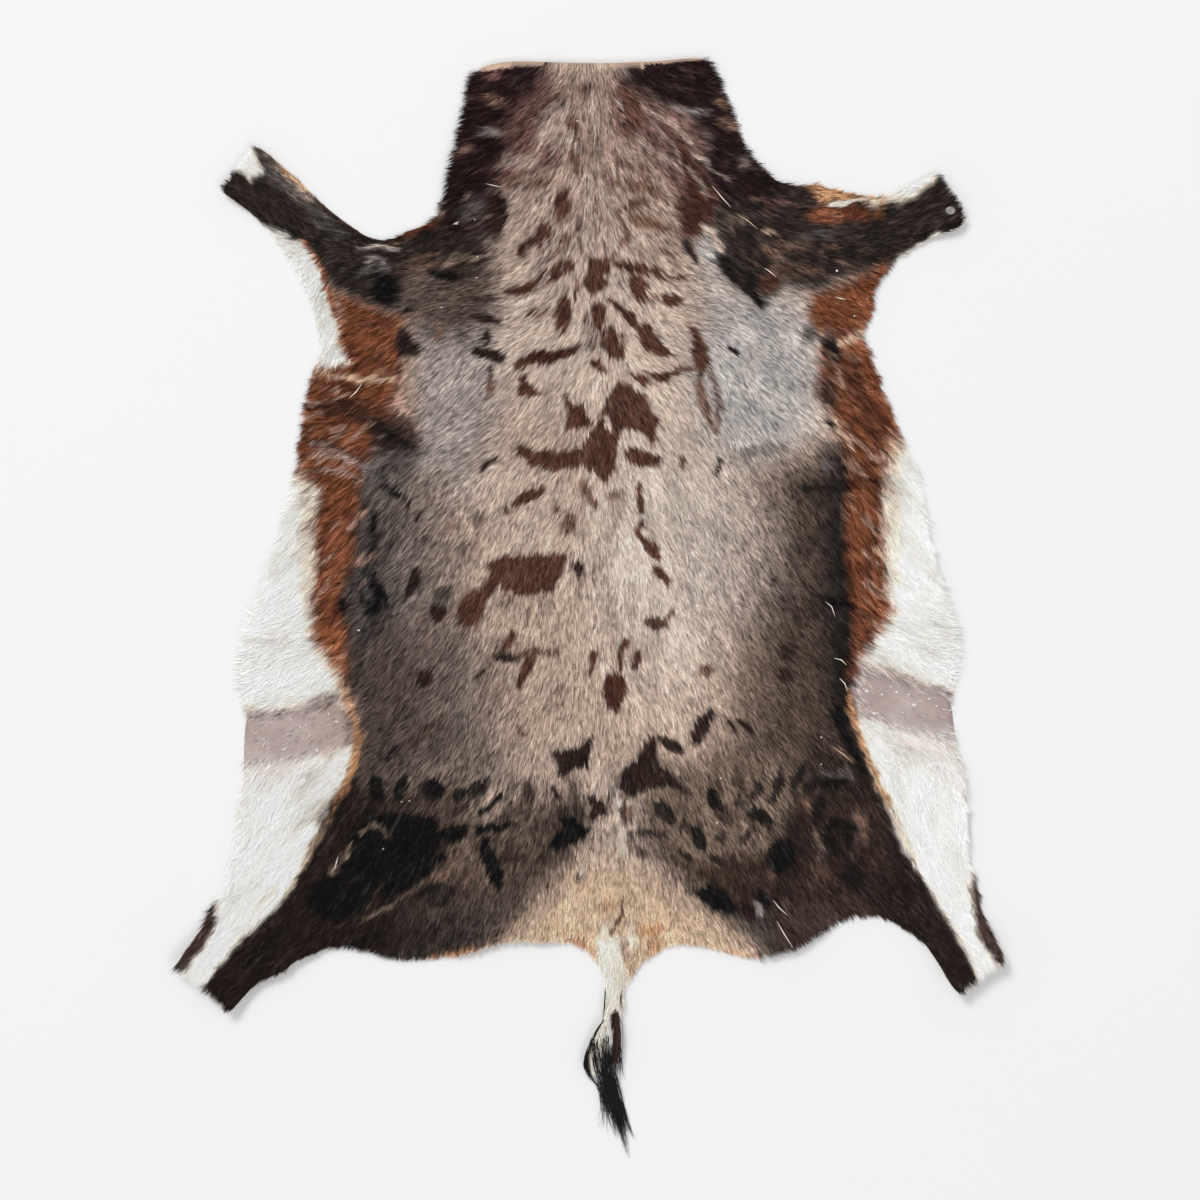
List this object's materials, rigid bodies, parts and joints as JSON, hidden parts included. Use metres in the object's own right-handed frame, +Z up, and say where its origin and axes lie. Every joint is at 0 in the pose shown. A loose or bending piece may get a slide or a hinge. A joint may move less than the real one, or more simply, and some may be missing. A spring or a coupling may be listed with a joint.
{
  "type": "blesbok hide",
  "caption": "Tanned antelope hide with the hair on, laid out flat: neck, four leg flaps with cut shanks, white belly edges and a tufted tail.",
  "frame": {"origin": "centre of the hide's box in plan, on the surface it lies on", "axes": "+Y from the tail toward the neck, +X toward the right side seen from above, +Z up, out of the hair side"},
  "size_m": [0.9582, 1.271, 0.0178],
  "materials": {
    "coat": "short glossy hair lying flat on tanned skin",
    "tail_hair": "long coarse black hair"
  },
  "bodies": {
    "root": {"hide": "coat", "tail_tuft": "tail_hair"}
  },
  "joints": []
}
